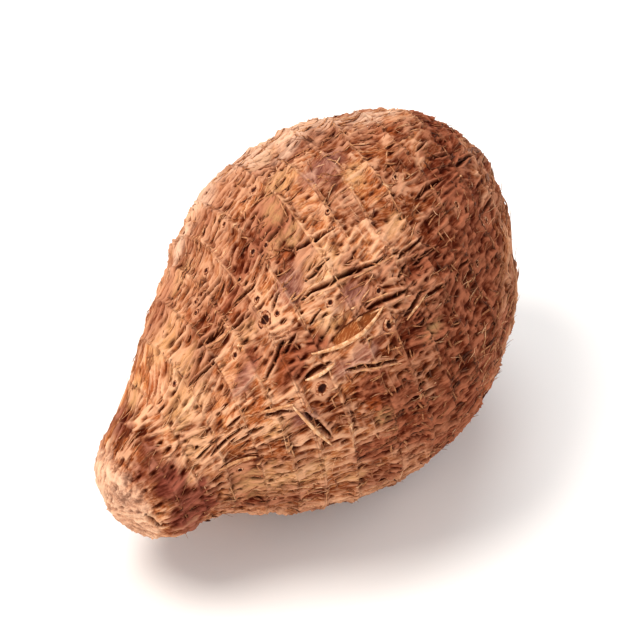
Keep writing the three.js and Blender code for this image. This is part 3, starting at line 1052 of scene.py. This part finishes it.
def ramped(material, value, stops):
    """Colours along a ramp of stops, each a position and a hex value."""
    node = add_node(material, "ShaderNodeValToRGB", {0: value})
    for element, (position, code) in zip(node.color_ramp.elements, (stops[0], stops[-1])):
        element.position, element.color = position, hex_colour(code)
    for position, code in stops[1:-1]:
        node.color_ramp.elements.new(position).color = hex_colour(code)
    return node.outputs[0]


def tint(material, factor, base, colour):
    """Mixes base towards a colour, a hex value or a socket, by factor."""
    goal = hex_colour(colour) if isinstance(colour, str) else colour
    sockets = {0: factor, 6: base, 7: goal}
    return add_node(material, "ShaderNodeMix", sockets, data_type="RGBA").outputs[2]


def stored(material, name, socket="Fac"):
    """A value that the mesh stores at its points."""
    return add_node(material, "ShaderNodeAttribute", attribute_name=name).outputs[socket]


def computed(material, first, second, operation="MULTIPLY"):
    return add_node(material, "ShaderNodeMath", {0: first, 1: second}, operation=operation).outputs[0]


def tint_by(material, name, amount, base, colour):
    """Mixes base towards a colour where the mesh stores the named mask."""
    return tint(material, computed(material, stored(material, name), amount), base, colour)


def halfway(material, first, second):
    return add_node(material, "ShaderNodeMix", {0: 0.5, 2: first, 3: second}, data_type="FLOAT").outputs[0]


def ranged(material, value, low, high, out_low=0.0, out_high=1.0):
    """Maps values from one range to another and holds them at its ends."""
    sockets = {0: value, 1: low, 2: high, 3: out_low, 4: out_high}
    return add_node(material, "ShaderNodeMapRange", sockets).outputs[0]


def grain_noise(material, size_mm, detail, roughness):
    """Noise whose grain has a size in mm along and across the fibres."""
    along, across = (1 / (size * MM) for size in size_mm)
    sockets = {"Vector": stored(material, "grain", "Vector"), "Scale": (along, across, across)}
    place = add_node(material, "ShaderNodeMapping", sockets).outputs[0]
    sockets = {"Vector": place, "Scale": 1.0, "Detail": detail, "Roughness": roughness}
    return add_node(material, "ShaderNodeTexNoise", sockets).outputs[0]


def bumped(material, height, strength, distance_mm):
    sockets = {"Strength": strength, "Distance": distance_mm * MM, "Height": height}
    return add_node(material, "ShaderNodeBump", sockets).outputs[0]


def shaded(material, sockets):
    """Joins a surface with these sockets to the material's output."""
    shader = add_node(material, "ShaderNodeBsdfPrincipled", sockets)
    add_node(material, "ShaderNodeOutputMaterial", {"Surface": shader.outputs[0]})
    return material


# Grain of the skin's colour in mm, along and across the fibres.
STREAK_MM = (1.7, 0.42)
FINE_STREAK_MM = (1.3, 0.32)
MOTTLE_MM = (2.6, 2.6)

SKIN_STOPS = [(0.32, "#581f08"), (0.44, "#87431d"), (0.54, "#ab5f33"), (0.7, "#cc8c57")]
# Tints by the stored masks; peach is the pale tip's own colour together with a painted highlight on the
# upper side of the belly.
SKIN_TINTS = [
    ("rust", 0.6, "#a24f24"), ("straw", 0.5, "#dcaa74"), ("plum", 0.62, "#87574c"),
    ("peach_tip_and_highlight", 0.75, "#d2a68a"), ("wine", 0.55, "#50201a"),
]
# On the pale ridges too, peach paints the highlight as well as the tip.
PALE_TINTS = [("wine", 0.75, "#8c463a"), ("plum", 0.5, "#b4887a"), ("peach_tip_and_highlight", 0.7, "#efceb2")]
# Near black of the gaps: the skin's darker gaps, deepened by painted shade in the recesses.
GAP_AND_SHADE_COLOUR = "#3a0800"


def dry_corky_skin():
    """Corky brown skin of dead leaf bases: matt, streaked along the fibres, dark in the gaps."""
    m = new_material("dry_corky_skin")
    streak = grain_noise(m, STREAK_MM, 3.0, 0.6)
    mottle = grain_noise(m, MOTTLE_MM, 3.0, 0.6)
    fine = grain_noise(m, FINE_STREAK_MM, 2.0, 0.55)
    fine_light = ranged(m, fine, 0.52, 0.62)
    fine_dark = ranged(m, fine, 0.46, 0.36)
    plate = stored(m, "plate")
    blend = computed(m, halfway(m, streak, mottle), ranged(m, plate, 0.0, 1.0, -0.05, 0.05), "ADD")

    # The stored tone holds painted shade as well as the skin's own tone, and the dark tint follows both.
    tone_and_painted_shade = computed(m, stored(m, "tone_and_painted_shade"), ranged(m, plate, 0.0, 1.0, 0.22, -0.22), "ADD")
    dark = ranged(m, tone_and_painted_shade, 0.24, 0.9, 0.0, 0.9)
    colour = tint(m, dark, ramped(m, blend, SKIN_STOPS), "#561c0c")
    for name, amount, code in SKIN_TINTS:
        colour = tint_by(m, name, amount, colour, code)
    pale = tint(m, dark, hex_colour("#e6b48e"), "#a65a3c")
    for name, amount, code in PALE_TINTS:
        pale = tint_by(m, name, amount, pale, code)
    colour = tint(m, computed(m, fine_light, 0.28), colour, pale)
    colour = tint(m, computed(m, fine_dark, 0.36), colour, GAP_AND_SHADE_COLOUR)
    colour = tint_by(m, "raised", 0.78, colour, pale)
    # Sunken places, pits, cracks, scar holes and the rings' grooves: painted shade in the recesses, over
    # the skin's darker gaps.
    colour = tint_by(m, "sunken", 0.96, colour, GAP_AND_SHADE_COLOUR)
    inner = tint(m, fine_light, hex_colour("#8e4c26"), "#b87a4c")
    colour = tint(m, stored(m, "bare"), colour, inner)

    return shaded(m, {
        "Base Color": colour, "Roughness": ranged(m, blend, 0.3, 0.7, 0.9, 0.65), "IOR": 1.45,
        "Specular IOR Level": 0.04, "Normal": bumped(m, halfway(m, streak, fine), 0.8, 0.35),
    })


def dried_vein(name, stops, roughness, thin_mm):
    """Dried veins and leaf-base paper: pale straw to brown, finely streaked, a faint sheen."""
    m = new_material(name)
    place = add_node(m, "ShaderNodeTexCoord").outputs["Object"]
    sockets = {"Vector": place, "Scale": 1 / (thin_mm * MM), "Detail": 2.0, "Roughness": 0.6}
    streak = add_node(m, "ShaderNodeTexNoise", sockets).outputs[0]
    level = computed(m, stored(m, "shade"), ranged(m, streak, 0.3, 0.7, -0.22, 0.22), "ADD")
    return shaded(m, {
        "Base Color": ramped(m, level, stops), "Roughness": roughness, "IOR": 1.45,
        "Specular IOR Level": 0.2, "Normal": bumped(m, streak, 0.5, 0.1),
    })


VEIN_STOPS = [(0.0, "#4a2416"), (0.35, "#884e2f"), (0.62, "#b67a50"), (1.0, "#dfb088")]
PAPER_STOPS = [(0.0, "#542a1a"), (0.4, "#945a38"), (0.7, "#c68e62"), (1.0, "#e6be96")]
ROOT_STOPS = [(0.0, "#35190f"), (0.5, "#5c3220"), (1.0, "#96623f")]
# Root scar cups: near black at the bottom as painted shade, up to the pale cork of the rim.
CRATER_STOPS = [(0.0, "#2c0d06"), (0.5, "#4a1c0c"), (0.8, "#8f5030"), (1.0, "#cc9a76")]


def plain_floor():
    """Matt pale backdrop paper."""
    m = new_material("backdrop_paper")
    grit = add_node(m, "ShaderNodeTexNoise", {"Scale": 400.0, "Detail": 2.0}).outputs[0]
    normal = bumped(m, grit, 0.05, 0.1)
    return shaded(m, {"Base Color": hex_colour("#f8f7f5"), "Roughness": 0.9, "Normal": normal})


def aim(thing, target):
    thing.rotation_mode = "QUATERNION"
    thing.rotation_quaternion = (target - thing.location).to_track_quat("-Z", "Y")


def add_light(name, place, target, size, watts, colour):
    data = bpy.data.lights.new(name, "AREA")
    data.shape = "DISK"
    data.size = size
    data.energy = watts
    data.color = hex_colour(colour)[:3]
    light = add_object(name, data)
    light.location = place
    aim(light, target)


# Disk lights: metres to the right, away and up from the corm's middle, metres that the aim lies to
# the right of it, size in metres, watts and colour.
LIGHTS = [
    ("key", -0.36, -0.06, 0.66, 0, 0.42, 4.6, "#fff6ee"),
    ("fill", 0.7, -0.5, 0.35, 0, 0.7, 1.5, "#fbf8ff"),
    ("low", -0.46, -0.6, 0.12, -0.03, 0.5, 2.9, "#fff8f0"),
    ("top", 0, 0.35, 0.75, 0, 0.6, 3.1, "#ffffff"),
    ("rim", 0.75, 0.3, 0.4, 0.12, 0.6, 1.3, "#ffffff"),
]
SURROUND_STRENGTH = 0.5
FLOOR_HALF_WIDTH = 3


def set_stage(middle):
    """Floor, soft studio light from the upper left, and a pale surround."""
    bm = bmesh.new()
    bmesh.ops.create_grid(bm, x_segments=1, y_segments=1, size=FLOOR_HALF_WIDTH)
    floor = to_object("floor", bm)
    floor.data.materials.append(plain_floor())
    away, side = view_axes()
    for name, to_side, to_back, up, aim_side, size, watts, colour in LIGHTS:
        place = middle + side * to_side + away * to_back + Vector((0, 0, up))
        add_light(name, place, middle + side * aim_side, size, watts, colour)
    world = bpy.data.worlds.new("surround")
    world.use_nodes = True
    background = world.node_tree.nodes["Background"]
    background.inputs["Color"].default_value = hex_colour("#ffffff")
    background.inputs["Strength"].default_value = SURROUND_STRENGTH
    bpy.context.scene.world = world


CAMERA_AZIMUTH = -49.5
CAMERA_ELEVATION = 40
CAMERA_LENS_MM = 250
SENSOR_MM = 36
FRAME_WIDTH_MM = 128


def view_axes():
    """Level directions away from the camera and to its right."""
    turn = math.radians(CAMERA_AZIMUTH)
    return Vector((-math.sin(turn), math.cos(turn), 0)), Vector((math.cos(turn), math.sin(turn), 0))


def set_camera(middle):
    away, _ = view_axes()
    rise = math.radians(CAMERA_ELEVATION)
    distance = FRAME_WIDTH_MM * MM * CAMERA_LENS_MM / SENSOR_MM
    data = bpy.data.cameras.new("camera")
    data.lens = CAMERA_LENS_MM
    data.sensor_width = SENSOR_MM
    data.clip_start = 0.01
    camera = add_object("camera", data)
    height = Vector((0, 0, math.sin(rise) * distance))
    camera.location = middle - away * math.cos(rise) * distance + height
    aim(camera, middle)
    bpy.context.scene.camera = camera


def centre_pieces(pieces, skins):
    """Puts the origin where the solid has it: on the foot, under the middle of the skin's box."""
    co = np.concatenate([points_of(skin) for skin in skins])
    shift = -(co.min(0) + co.max(0)) / 2
    shift[2] = -FOOT_Z * MM
    for piece in pieces:
        set_points(piece.data, (points_of(piece) + shift) / MM)


strand_finish = dried_vein("dried_leaf_vein", VEIN_STOPS, 0.7, 0.6)
paper_finish = dried_vein("leaf_base_paper", PAPER_STOPS, 0.72, 0.8)
root_finish = dried_vein("dead_rootlet", ROOT_STOPS, 0.8, 0.5)
crater_finish = dried_vein("root_scar_cork", CRATER_STOPS, 0.8, 0.5)

skin_finish = dry_corky_skin()
BAND_NAMES = ["neck_skin", "belly_skin", "butt_skin"]
skin_bands = [make_skin_band(name, part) for part, name in enumerate(BAND_NAMES)]
FINISHES = [
    *((band, skin_finish) for band in skin_bands),
    (make_net_strands(), strand_finish),
    (make_cross_strands(), strand_finish),
    (make_ring_fringes(), paper_finish),
    (make_ring_lines(), paper_finish),
    (make_loose_hairs(), strand_finish),
    (make_root_stubs(), root_finish),
    (make_root_scars(), crater_finish),
    (make_torn_lips(), paper_finish),
    (make_crown_scales(), paper_finish),
    (make_crossed_strands(), strand_finish),
]

centre_pieces([piece for piece, _ in FINISHES], skin_bands)
for piece, finish in FINISHES:
    piece.data.materials.clear()
    piece.data.materials.append(finish)
    piece.data.shade_smooth()
    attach(piece, "root")
for band in skin_bands:
    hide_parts("corm")

low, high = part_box("corm")
corm_middle = (low + high) / 2
set_camera(corm_middle)
set_stage(corm_middle)
bpy.context.scene.view_settings.view_transform = "Standard"
